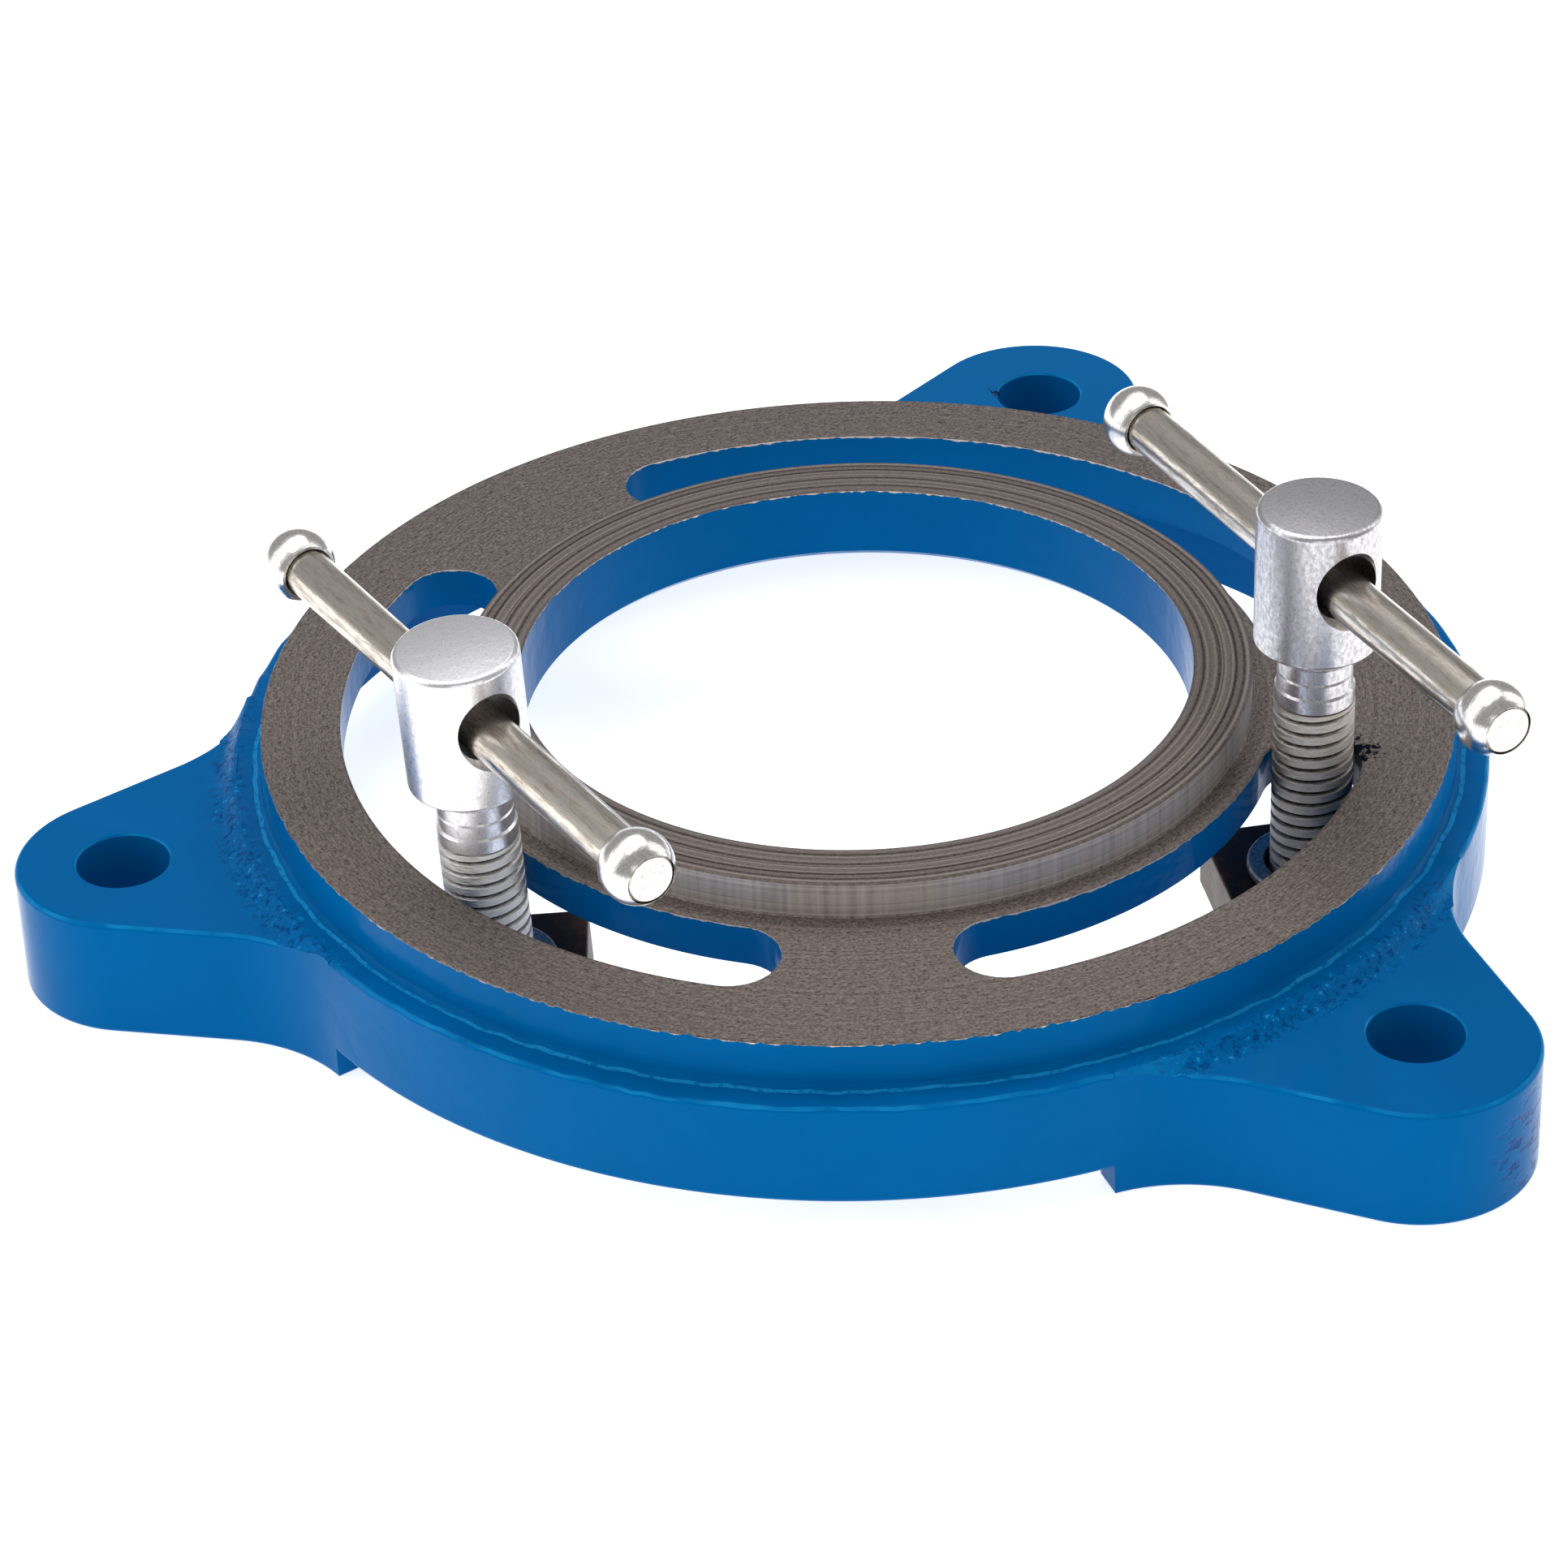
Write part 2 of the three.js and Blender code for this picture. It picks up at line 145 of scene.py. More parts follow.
def enamelledCasting(s, sizes):
    # grey iron, rough cast and enamelled in gloss blue, then turned bare on top: the paint pools in
    # the corners and shows the sand's lumps, the bare iron shows its tool marks
    material, tree, shader = newMaterial("glossEnamelOnCastIron")
    centred = addNode(tree, "Mapping", {"Vector": addNode(tree, "TexCoord", out="Object"), "Location": -ringCentre})
    split = addNode(tree, "SeparateXYZ", {"Vector": centred}, out=None)
    x, y, z = split.outputs[0], split.outputs[1], split.outputs[2]
    flat = addNode(tree, "CombineXYZ", {"X": x, "Y": y})
    radius = addNode(tree, "VectorMath", {0: flat}, out="Value", operation="LENGTH")
    angle = addNode(tree, "Math", {0: y, 1: x}, operation="ARCTAN2")
    facing = addNode(tree, "SeparateXYZ", {"Vector": addNode(tree, "NewGeometry", out="Normal")}, out="Z")

    # the paint's ragged edge where the tool stopped
    ragged = addNode(tree, "TexNoise", {"Vector": centred, "Scale": 1 / (s["ragSize"] * mm), "Detail": 4.0}, out="Fac")
    ragged = addNode(tree, "MapRange", {"Value": ragged, "From Min": 0.3, "From Max": 0.7,
                                        "To Min": -s["ragDepth"] * mm, "To Max": s["ragDepth"] * mm})
    height = addNode(tree, "Math", {0: z, 1: ragged}, operation="ADD")
    bareHeight = addNode(tree, "MapRange", {"Value": height,
                                            "From Min": (sizes["faceHeight"] - s["bareDepth"][0]) * mm,
                                            "From Max": (sizes["faceHeight"] - s["bareDepth"][1]) * mm})
    ringRadius = addNode(tree, "Math", {0: radius, 1: ragged}, operation="ADD")
    offBore = addNode(tree, "MapRange", {"Value": ringRadius,
                                         "From Min": (sizes["boreRadius"] + s["boreEdge"][0]) * mm,
                                         "From Max": (sizes["boreRadius"] + s["boreEdge"][1]) * mm})
    onTop = addNode(tree, "MapRange", {"Value": height,
                                       "From Min": (sizes["spigotTop"] - s["topDepth"][0]) * mm,
                                       "From Max": (sizes["spigotTop"] - s["topDepth"][1]) * mm})
    offBore = addNode(tree, "Math", {0: offBore, 1: onTop}, operation="MAXIMUM")
    bare = addNode(tree, "Math", {0: bareHeight, 1: offBore}, operation="MULTIPLY")
    edge = addNode(tree, "Math", {0: bare, 1: 0.5, 2: 0.42}, operation="COMPARE")

    # blue enamel
    cloud = addNode(tree, "TexNoise", {"Vector": centred, "Scale": 1 / (s["cloudSize"] * mm), "Detail": 2.0}, out="Fac")
    paint = addNode(tree, "Mix", {0: cloud, 6: colour(s["paintDeep"]), 7: colour(s["paint"])}, out=2, data_type="RGBA")
    # painted highlight: paler blue over the cast edges and along the foot of the raised ring
    speck = addNode(tree, "TexNoise", {"Vector": centred, "Scale": 1 / (s["speckSize"] * mm), "Detail": 4.0,
                                       "Roughness": 0.7}, out="Fac")
    broken = addNode(tree, "TexNoise", {"Vector": centred, "Scale": 1 / (s["brokenSize"] * mm), "Detail": 3.0},
                     out="Fac")
    wander = addNode(tree, "MapRange", {"Value": broken, "To Min": -s["wander"] * mm, "To Max": s["wander"] * mm})
    footRadius = addNode(tree, "Math", {0: radius, 1: wander}, operation="ADD")
    foot = addNode(tree, "Math", {0: footRadius, 1: s["footRadius"] * mm, 2: s["footReach"] * mm}, operation="COMPARE")
    low = addNode(tree, "Math", {0: z, 1: s["footLevel"] * mm, 2: s["footRise"] * mm}, operation="COMPARE")
    foot = addNode(tree, "Math", {0: foot, 1: low}, operation="MULTIPLY")
    foot = addNode(tree, "Math", {0: foot, 1: addNode(tree, "MapRange", {
        "Value": speck, "From Min": 0.4, "From Max": 0.5, "To Min": 0.2, "To Max": 0.8})}, operation="MULTIPLY")
    edgeHighlight = addNode(tree, "Math", {0: facing, 1: s["edgeFacing"], 2: s["edgeSpread"]}, operation="COMPARE")
    outside = addNode(tree, "MapRange", {"Value": radius, "From Min": s["edgeRadius"][0] * mm,
                                         "From Max": s["edgeRadius"][1] * mm})
    edgeHighlight = addNode(tree, "Math", {0: edgeHighlight, 1: outside}, operation="MULTIPLY")
    edgeHighlight = addNode(tree, "Math", {0: edgeHighlight, 1: addNode(tree, "MapRange", {
        "Value": broken, "From Min": 0.35, "From Max": 0.6, "To Min": 0.1, "To Max": 0.55})}, operation="MULTIPLY")
    # rough ground where the lugs spring from the ring: pits full of paint, and bare-worn grains between
    nearRoot = 0
    for middle, spread in s["pits"]:
        away = addNode(tree, "Math", {0: angle, 1: radians(middle if middle <= 180 else middle - 360)},
                       operation="SUBTRACT")
        away = addNode(tree, "Math", {0: away}, operation="ABSOLUTE")
        here = addNode(tree, "MapRange", {"Value": away, "From Min": radians(spread),
                                          "From Max": radians(spread * 0.6)})
        nearRoot = addNode(tree, "Math", {0: nearRoot, 1: here}, operation="MAXIMUM")
    lugLevel = addNode(tree, "Math", {0: z, 1: s["lugLevel"] * mm}, operation="LESS_THAN")
    between = addNode(tree, "Math", {0: 1.0, 1: nearRoot}, operation="SUBTRACT")
    between = addNode(tree, "Math", {0: between, 1: lugLevel}, operation="MAXIMUM")
    edgeHighlight = addNode(tree, "Math", {0: edgeHighlight, 1: between}, operation="MULTIPLY")
    # painted highlight: the line along the foot and the line over the edges
    highlightAndThin = addNode(tree, "Math", {0: foot, 1: edgeHighlight}, operation="MAXIMUM")
    upward = addNode(tree, "MapRange", {"Value": facing, "From Min": 0.35, "From Max": 0.6})
    nearRoot = addNode(tree, "Math", {0: nearRoot, 1: upward}, operation="MULTIPLY")
    rootRadius = addNode(tree, "Math", {0: footRadius, 1: s["rootRadius"] * mm}, operation="SUBTRACT")
    rootRadius = addNode(tree, "Math", {0: rootRadius}, operation="ABSOLUTE")
    rootBand = addNode(tree, "MapRange", {"Value": rootRadius, "From Min": s["rootBand"][0] * mm,
                                          "From Max": s["rootBand"][1] * mm})
    rootBand = addNode(tree, "Math", {0: rootBand, 1: nearRoot}, operation="MULTIPLY")
    pit = addNode(tree, "MapRange", {"Value": speck, "From Min": s["pitsIn"][0], "From Max": s["pitsIn"][1]})
    pit = addNode(tree, "Math", {0: pit, 1: rootBand}, operation="MULTIPLY")
    grit = addNode(tree, "MapRange", {"Value": speck, "From Min": s["gritIn"][0], "From Max": s["gritIn"][1]})
    grit = addNode(tree, "Math", {0: grit, 1: rootBand}, operation="MULTIPLY")
    highlightAndThin = addNode(tree, "Math", {0: highlightAndThin, 1: grit}, operation="MAXIMUM")
    for place, size in s["scrapes"]:  # sand burnt on to a lug's end, under the paint
        away = addNode(tree, "VectorMath", {0: centred, 1: Vector(place) * mm}, out="Value", operation="DISTANCE")
        here = addNode(tree, "MapRange", {"Value": away, "From Min": size * mm, "From Max": 0.5 * size * mm})
        tilted = addNode(tree, "Mapping", {"Vector": centred, "Rotation": (0.5, 0.3, 0.0), "Scale": (1, 1, 2.2)})
        furrow = addNode(tree, "TexNoise", {"Vector": tilted, "Scale": 1 / (s["furrowSize"] * mm), "Detail": 4.0,
                                            "Roughness": 0.6}, out="Fac")
        furrow = addNode(tree, "MapRange", {"Value": furrow, "From Min": s["furrowsIn"][0],
                                            "From Max": s["furrowsIn"][1]})
        furrow = addNode(tree, "Math", {0: furrow, 1: here}, operation="MULTIPLY")
        pit = addNode(tree, "Math", {0: pit, 1: furrow}, operation="MAXIMUM")
    paint = addNode(tree, "Mix", {0: pit, 6: paint, 7: colour(s["pitPaint"])}, out=2, data_type="RGBA")
    # the painted highlight and the worn grains at the lug roots in paler blue
    paint = addNode(tree, "Mix", {0: highlightAndThin, 6: paint, 7: colour(s["highlightAndThinPaint"])}, out=2, data_type="RGBA")
    lumps = addNode(tree, "TexNoise", {"Vector": centred, "Scale": 1 / (s["lumpSize"] * mm), "Detail": 2.5,
                                       "Roughness": 0.55}, out="Fac")
    inFillet = addNode(tree, "MapRange", {"Value": radius, "From Min": s["lumpFade"][0] * mm,
                                          "From Max": s["lumpFade"][1] * mm, "To Min": 1.0, "To Max": 0.28},
                       interpolation_type="SMOOTHSTEP")
    peel = addNode(tree, "TexNoise", {"Vector": centred, "Scale": 1 / (s["peelSize"] * mm), "Detail": 1.0}, out="Fac")
    peel = addNode(tree, "Math", {0: peel, 1: s["peelShare"]}, operation="MULTIPLY")
    skin = addNode(tree, "Math", {0: lumps, 1: inFillet}, operation="MULTIPLY")
    skin = addNode(tree, "Math", {0: skin, 1: peel}, operation="ADD")
    gritty = addNode(tree, "Math", {0: speck, 1: rootBand}, operation="MULTIPLY")
    skin = addNode(tree, "Math", {0: skin, 1: gritty}, operation="ADD")
    skin = addNode(tree, "Math", {0: skin, 1: pit}, operation="SUBTRACT")

    # bare turned iron: grain, and rings left by the tool
    grain = addNode(tree, "TexNoise", {"Vector": centred, "Scale": 1 / (s["grainSize"] * mm), "Detail": 5.0,
                                       "Roughness": 0.75}, out="Fac")
    along = addNode(tree, "Math", {0: angle, 1: s["streakRadius"] / s["streak"]}, operation="MULTIPLY")
    inOut = addNode(tree, "Math", {0: radius, 1: 1 / (s["ringWidth"] * mm)}, operation="MULTIPLY")
    streaks = addNode(tree, "TexNoise", {"Vector": addNode(tree, "CombineXYZ", {"X": inOut, "Y": along}),
                                         "Scale": 1.0, "Detail": 3.0, "Roughness": 0.6}, out="Fac")
    grain = addNode(tree, "Mix", {0: 0.38, 2: grain, 3: streaks})
    ringsW = addNode(tree, "Math", {0: radius, 1: 1 / (s["ringPitch"] * mm)}, operation="MULTIPLY")
    rings = addNode(tree, "TexNoise", {"W": ringsW, "Scale": 1.0, "Detail": 3.0}, out="Fac", noise_dimensions="1D")
    chatterW = addNode(tree, "Math", {0: angle, 1: s["chatterCount"] / (2 * pi)}, operation="MULTIPLY")
    chatter = addNode(tree, "TexNoise", {"W": chatterW, "Scale": 1.0, "Detail": 2.0}, out="Fac", noise_dimensions="1D")
    bandsW = addNode(tree, "Math", {0: z, 1: 1 / (s["bandPitch"] * mm)}, operation="MULTIPLY")
    bands = addNode(tree, "TexNoise", {"W": bandsW, "Scale": 1.0, "Detail": 3.0}, out="Fac", noise_dimensions="1D")
    upright = addNode(tree, "MapRange", {"Value": facing, "From Min": 0.3, "From Max": 0.7, "To Min": 1.0,
                                         "To Max": 0.0})
    wallMarks = addNode(tree, "Mix", {0: 0.4, 2: bands, 3: chatter})
    marks = addNode(tree, "Mix", {0: upright, 2: rings, 3: wallMarks})
    onSpigot = addNode(tree, "MapRange", {"Value": radius, "From Min": s["spigotEdge"][0] * mm,
                                          "From Max": s["spigotEdge"][1] * mm})
    marksShare = addNode(tree, "MapRange", {"Value": onSpigot, "To Min": s["marksShare"][0],
                                            "To Max": s["marksShare"][1]})
    tone = addNode(tree, "Mix", {0: marksShare, 2: grain, 3: marks})
    tone = addNode(tree, "MapRange", {"Value": tone, "From Min": 0.38, "From Max": 0.62})
    lit = addNode(tree, "MapRange", {"Value": upright, "To Min": 0.0, "To Max": 0.45})
    tone = addNode(tree, "Math", {0: tone, 1: lit}, operation="ADD", use_clamp=True)
    iron = addNode(tree, "Mix", {0: tone, 6: colour(s["ironDark"]), 7: colour(s["ironLight"])}, out=2, data_type="RGBA")
    turned = addNode(tree, "Math", {0: upright, 1: wallMarks}, operation="MULTIPLY")
    iron = addNode(tree, "Mix", {0: turned, 6: iron, 7: colour(s["ironTurned"])}, out=2, data_type="RGBA")
    ironRim = addNode(tree, "Mix", {0: grain, 6: colour(s["rimDark"]), 7: colour(s["rimLight"])}, out=2,
                      data_type="RGBA")

    base = addNode(tree, "Mix", {0: bare, 6: paint, 7: iron}, out=2, data_type="RGBA")
    base = addNode(tree, "Mix", {0: edge, 6: base, 7: ironRim}, out=2, data_type="RGBA")
    roughIron = addNode(tree, "MapRange", {"Value": grain, "From Min": 0.3, "From Max": 0.7,
                                           "To Min": s["ironRoughness"][0], "To Max": s["ironRoughness"][1]})
    for place, size in s["chips"]:  # knocked and grimy spots: slot end, hole rims
        reach = addNode(tree, "VectorMath", {0: centred, 1: Vector(place) * mm}, out="Value", operation="DISTANCE")
        rough = addNode(tree, "MapRange", {"Value": speck, "From Min": 0.35, "From Max": 0.65,
                                           "To Min": -0.5 * size * mm, "To Max": 0.5 * size * mm})
        reach = addNode(tree, "Math", {0: reach, 1: rough}, operation="ADD")
        chip = addNode(tree, "MapRange", {"Value": reach, "From Min": 0.62 * size * mm, "From Max": 0.55 * size * mm})
        base = addNode(tree, "Mix", {0: chip, 6: base, 7: colour(s["chipColour"])}, out=2, data_type="RGBA")
    ironSkin = addNode(tree, "Mix", {0: 0.5, 2: grain, 3: marks})
    paintBump = addNode(tree, "Bump", {"Height": skin, "Strength": s["lumpStrength"],
                                       "Distance": s["lumpHeight"] * mm})
    ironBump = addNode(tree, "Bump", {"Height": ironSkin, "Strength": 0.7, "Distance": s["ironBump"] * mm})
    for socket, value in (
            ("Base Color", base),
            ("Roughness", addNode(tree, "Mix", {0: bare, 2: s["paintRoughness"], 3: roughIron})),
            ("Metallic", addNode(tree, "Math", {0: bare, 1: s["ironMetallic"]}, operation="MULTIPLY")),
            ("Normal", addNode(tree, "Mix", {0: bare, 4: paintBump, 5: ironBump}, out=1, data_type="VECTOR"))):
        tree.links.new(value, shader.inputs[socket])
    shader.inputs["IOR"].default_value = 1.5
    shader.inputs["Specular IOR Level"].default_value = s["glossLevel"]
    shader.inputs["Specular Tint"].default_value = colour(s["glossTint"])
    return material


def brightPlated(name, s, matrix):
    # steel under zinc or nickel: mirror bright with the small ripples and scuffs of barrel plating
    material, tree, shader = newMaterial(name)
    stretched = addNode(tree, "Mapping", {"Vector": localCoords(tree, matrix), "Scale": s["stretch"]})
    ripple = addNode(tree, "TexNoise", {"Vector": stretched, "Scale": 1 / (s["rippleSize"] * mm), "Detail": 3.0,
                                        "Roughness": 0.6}, out="Fac")
    scuff = addNode(tree, "TexNoise", {"Vector": stretched, "Scale": 1 / (s["scuffSize"] * mm), "Detail": 6.0,
                                       "Roughness": 0.7}, out="Fac")
    scuffed = addNode(tree, "MapRange", {"Value": scuff, "From Min": 0.42, "From Max": 0.68})
    roughness = addNode(tree, "MapRange", {"Value": scuff, "From Min": 0.3, "From Max": 0.7,
                                           "To Min": s["roughness"][0], "To Max": s["roughness"][1]})
    both = addNode(tree, "Mix", {0: s["scuffShare"], 2: ripple, 3: scuff})
    for socket, value in (
            ("Base Color", addNode(tree, "Mix", {0: scuffed, 6: colour(s["bright"]), 7: colour(s["dull"])}, out=2,
                                   data_type="RGBA")),
            ("Roughness", roughness),
            ("Normal", addNode(tree, "Bump", {"Height": both, "Strength": s["bumpStrength"],
                                              "Distance": s["bumpHeight"] * mm}))):
        tree.links.new(value, shader.inputs[socket])
    shader.inputs["Metallic"].default_value = 1.0
    return material


def darkRootedThread(name, s, matrix):
    # cut thread on the plated screw: crests rubbed bright, the hollows dark, and all darker towards the bottom
    material, tree, shader = newMaterial(name)
    local = localCoords(tree, matrix)
    split = addNode(tree, "SeparateXYZ", {"Vector": local}, out=None)
    flat = addNode(tree, "CombineXYZ", {"X": split.outputs[0], "Y": split.outputs[1]})
    radius = addNode(tree, "VectorMath", {0: flat}, out="Value", operation="LENGTH")
    drawn = addNode(tree, "Mapping", {"Vector": local, "Scale": (0.6, 0.6, 2.0)})
    grime = addNode(tree, "TexNoise", {"Vector": drawn, "Scale": 1 / (s["grimeSize"] * mm), "Detail": 5.0,
                                       "Roughness": 0.75}, out="Fac")
    worn = addNode(tree, "MapRange", {"Value": grime, "From Min": 0.3, "From Max": 0.7,
                                      "To Min": -s["wear"] * mm, "To Max": s["wear"] * mm})
    worn = addNode(tree, "Math", {0: radius, 1: worn}, operation="ADD")
    crest = addNode(tree, "MapRange", {"Value": worn, "From Min": s["rootRadius"] * mm,
                                       "From Max": s["crestRadius"] * mm})
    # the thread turns darker towards the bottom
    low = addNode(tree, "MapRange", {"Value": split.outputs[2], "From Min": s["darkeningTop"] * mm,
                                     "From Max": s["darkeningBottom"] * mm})
    bright, dark = (addNode(tree, "Mix", {0: low, 6: colour(top), 7: colour(bottom)}, out=2, data_type="RGBA")
                    for top, bottom in (s["crests"], s["hollows"]))
    for socket, value in (
            ("Base Color", addNode(tree, "Mix", {0: crest, 6: dark, 7: bright}, out=2, data_type="RGBA")),
            ("Roughness", addNode(tree, "MapRange", {"Value": grime, "To Min": s["roughness"][0],
                                                     "To Max": s["roughness"][1]})),
            ("Normal", addNode(tree, "Bump", {"Height": grime, "Strength": 0.9, "Distance": s["burr"] * mm}))):
        tree.links.new(value, shader.inputs[socket])
    shader.inputs["Metallic"].default_value = 1.0
    return material


def scaledSteel(name, s, matrix):
    # sawn bar end with its mill scale left on: near black, rust where it was handled, saw lines on the sides
    material, tree, shader = newMaterial(name)
    local = localCoords(tree, matrix)
    facing = addNode(tree, "SeparateXYZ", {"Vector": addNode(tree, "NewGeometry", out="Normal")}, out="Z")
    blotch = addNode(tree, "TexNoise", {"Vector": local, "Scale": 1 / (s["blotchSize"] * mm), "Detail": 5.0,
                                        "Roughness": 0.65}, out="Fac")
    drawn = addNode(tree, "Mapping", {"Vector": local, "Scale": (0.15, 0.15, 4)})
    lines = addNode(tree, "TexNoise", {"Vector": drawn, "Scale": 1 / (s["lineSize"] * mm), "Detail": 3.0}, out="Fac")
    top = addNode(tree, "MapRange", {"Value": facing, "From Min": 0.4, "From Max": 0.8})
    rusty = addNode(tree, "MapRange", {"Value": blotch, "From Min": 0.5, "From Max": 0.7})
    face = addNode(tree, "Mix", {0: rusty, 6: colour(s["scale"]), 7: colour(s["rust"])}, out=2, data_type="RGBA")
    side = addNode(tree, "Mix", {0: lines, 6: colour(s["sideDark"]), 7: colour(s["sideLight"])}, out=2,
                   data_type="RGBA")
    skin = addNode(tree, "Mix", {0: top, 2: lines, 3: blotch})
    for socket, value in (
            ("Base Color", addNode(tree, "Mix", {0: top, 6: side, 7: face}, out=2, data_type="RGBA")),
            ("Roughness", addNode(tree, "MapRange", {"Value": blotch, "To Min": s["roughness"][0],
                                                     "To Max": s["roughness"][1]})),
            ("Normal", addNode(tree, "Bump", {"Height": skin, "Strength": 0.5, "Distance": s["lineDepth"] * mm}))):
        tree.links.new(value, shader.inputs[socket])
    shader.inputs["Metallic"].default_value = 0.7
    return material


mergeDistance = 0.002  # corners nearer than this become one


def placePiece(bm, name, material, body, place, sharpFrom, replaced=()):
    # turns a bmesh into a smooth-shaded piece in its place, riding on its body
    bmesh.ops.remove_doubles(bm, verts=bm.verts, dist=mergeDistance)
    bmesh.ops.recalc_face_normals(bm, faces=bm.faces)
    bmesh.ops.transform(bm, matrix=place @ Matrix.Scale(mm, 4), verts=bm.verts)
    return showPiece(meshOf(bm, name), name, material, body, sharpFrom, replaced)


def showPiece(mesh, name, material, body, sharpFrom, replaced):
    mesh.materials.clear()
    mesh.materials.append(material)
    mesh.shade_smooth()
    mesh.set_sharp_from_angle(angle=radians(sharpFrom))
    piece = bpy.data.objects.new(name, mesh)
    scene.collection.objects.link(piece)
    weighted = piece.modifiers.new("flat faces stay flat", "WEIGHTED_NORMAL")
    weighted.keep_sharp = True
    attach(piece, body)
    if replaced:
        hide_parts(*replaced)
    return piece


def arcPoints(centre, radius, start, end, steps):
    return [(centre[0] + radius * cos(radians(start + (end - start) * i / steps)),
             centre[1] + radius * sin(radians(start + (end - start) * i / steps))) for i in range(steps + 1)]


def spunProfile(profile, steps, closed=False):
    # a turned body about Z from (radius, height) points
    bm = bmesh.new()
    verts = [bm.verts.new((radius, 0, height)) for radius, height in profile]
    edges = [bm.edges.new(pair) for pair in zip(verts, verts[1:])]
    if closed:
        edges.append(bm.edges.new((verts[-1], verts[0])))
    bmesh.ops.spin(bm, geom=verts + edges, cent=(0, 0, 0), axis=(0, 0, 1), angle=2 * pi, steps=steps, use_merge=True)
    bmesh.ops.remove_doubles(bm, verts=bm.verts, dist=mergeDistance)
    bmesh.ops.recalc_face_normals(bm, faces=bm.faces)
    return bm


def spunOutline(start, arcs):
    # an outline in the XY plane: one corner, spun round each arc's centre in turn, and filled
    bm = bmesh.new()
    last = bm.verts.new((*start, 0))
    first = last
    for centre, turn, steps in arcs:
        if turn is None:  # a straight run to this point
            new = bm.verts.new((*centre, 0))
            bm.edges.new((last, new))
            last = new
            continue
        made = bmesh.ops.spin(bm, geom=[last], cent=(*centre, 0), axis=(0, 0, 1), angle=radians(turn), steps=steps)
        last = [item for item in made["geom_last"] if isinstance(item, bmesh.types.BMVert)][0]
    bm.edges.new((last, first))
    bmesh.ops.remove_doubles(bm, verts=bm.verts, dist=mergeDistance)
    bmesh.ops.contextual_create(bm, geom=list(bm.edges))
    return bm


def raised(bm, bottom, height, rounding=0, segments=4):
    # pulls a filled outline up into a block and rounds its top and bottom edges
    bmesh.ops.translate(bm, verts=bm.verts, vec=(0, 0, bottom))
    made = bmesh.ops.extrude_face_region(bm, geom=list(bm.faces))
    top = [item for item in made["geom"] if isinstance(item, bmesh.types.BMVert)]
    bmesh.ops.translate(bm, verts=top, vec=(0, 0, height))
    bmesh.ops.recalc_face_normals(bm, faces=bm.faces)
    if rounding:
        rims = [e for e in bm.edges if abs(e.verts[0].co.z - e.verts[1].co.z) < 1e-4]
        bmesh.ops.bevel(bm, geom=rims, offset=rounding, segments=segments, affect="EDGES", profile=0.5, material=-1)
    return bm


def meshOf(bm, name):
    mesh = bpy.data.meshes.new(name)
    bm.to_mesh(mesh)
    bm.free()
    return mesh


def scratchObject(mesh, name):
    made = bpy.data.objects.new(name, mesh)
    scene.collection.objects.link(made)
    return made


def carved(body, others):
    # joins or cuts the body with each (operation, object) in turn and gives back the mesh
    for operation, other in others:
        step = body.modifiers.new(operation, "BOOLEAN")
        step.operation = operation
        step.solver = "EXACT"
        step.object = other
    graph = bpy.context.evaluated_depsgraph_get()
    mesh = bpy.data.meshes.new_from_object(body.evaluated_get(graph))
    for made in [body] + [other for _, other in others]:
        bpy.data.objects.remove(made)
    return mesh


def wavy(point, waves):
    # up and down of the sand mould's surface at a point, from waves of (size, share)
    return sum(share * noise.noise(point / size) for size, share in waves)


castingSizes = {
    "faceRadius": 94.0, "faceHeight": 29.5, "boreRadius": 53.0, "spigotRadius": 62.25, "spigotTop": 35.5,
    "flangeRadius": 99.5, "ledge": 22.0, "ledgeMiddle": 97.1, "draft": 0.4, "footFillet": 1.1, "edge": 0.9,
    "edgeBreak": 0.25, "spigotEdge": 0.3,
    "skirtLift": 5.0, "skirtInside": 94.0, "plateUnder": 22.8, "channelFillet": 2.4, "channelWide": 13.0,
    "channelNarrow": 88.5, "skirtFlare": 0.8, "flareTop": 0.4, "boreLead": 1.0, "boreLeadRise": 1.5,
    "lugPitch": 116.0, "lugTop": 20.2, "lugEnd": 18.3, "lugTaper": 23.5, "lugRoot": 26.0, "lugAngles": (30, 150, 270),
    "lugHole": 7.25, "holeRim": 0.3, "holes": ((29.5, 116.2), (150.1, 117.5), (270.6, 114.6)),  # degrees, out
    "blend": ((98.4, 22.0), (99.0, 21.93), (99.5, 21.72), (99.9, 21.35), (100.3, 20.92), (100.8, 20.52),
              (101.4, 20.28), (102.2, 20.16), (102.2, 19.3), (98.4, 19.3)),  # ledge down to the lug tops
    "blendFloor": 20.0, "blendDrop": 5.0, "blendHeight": 8.0,
    "lump": 0.34, "ledgeWaves": ((2.6, 1.0), (6.5, 0.8)), "blendWaves": ((2.2, 1.0), (5.5, 1.0)),
    "ledgeBand": (-1.5, 1.0),  # the ledge's height, less and more
    "slotRadius": 73.8, "slotWidth": 15.3, "slots": ((19.85, 113.3), (160.15, 113.3), (270.0, 66.6)),
    "slotCut": 12.0, "cutPast": 2.0,  # the cutters run past the faces they cut
    "steps": 288, "holeSteps": 64, "slotEndSteps": 20, "sharpFrom": 40,
}


def polar(radius, angle):
    return (radius * cos(radians(angle)), radius * sin(radians(angle)))


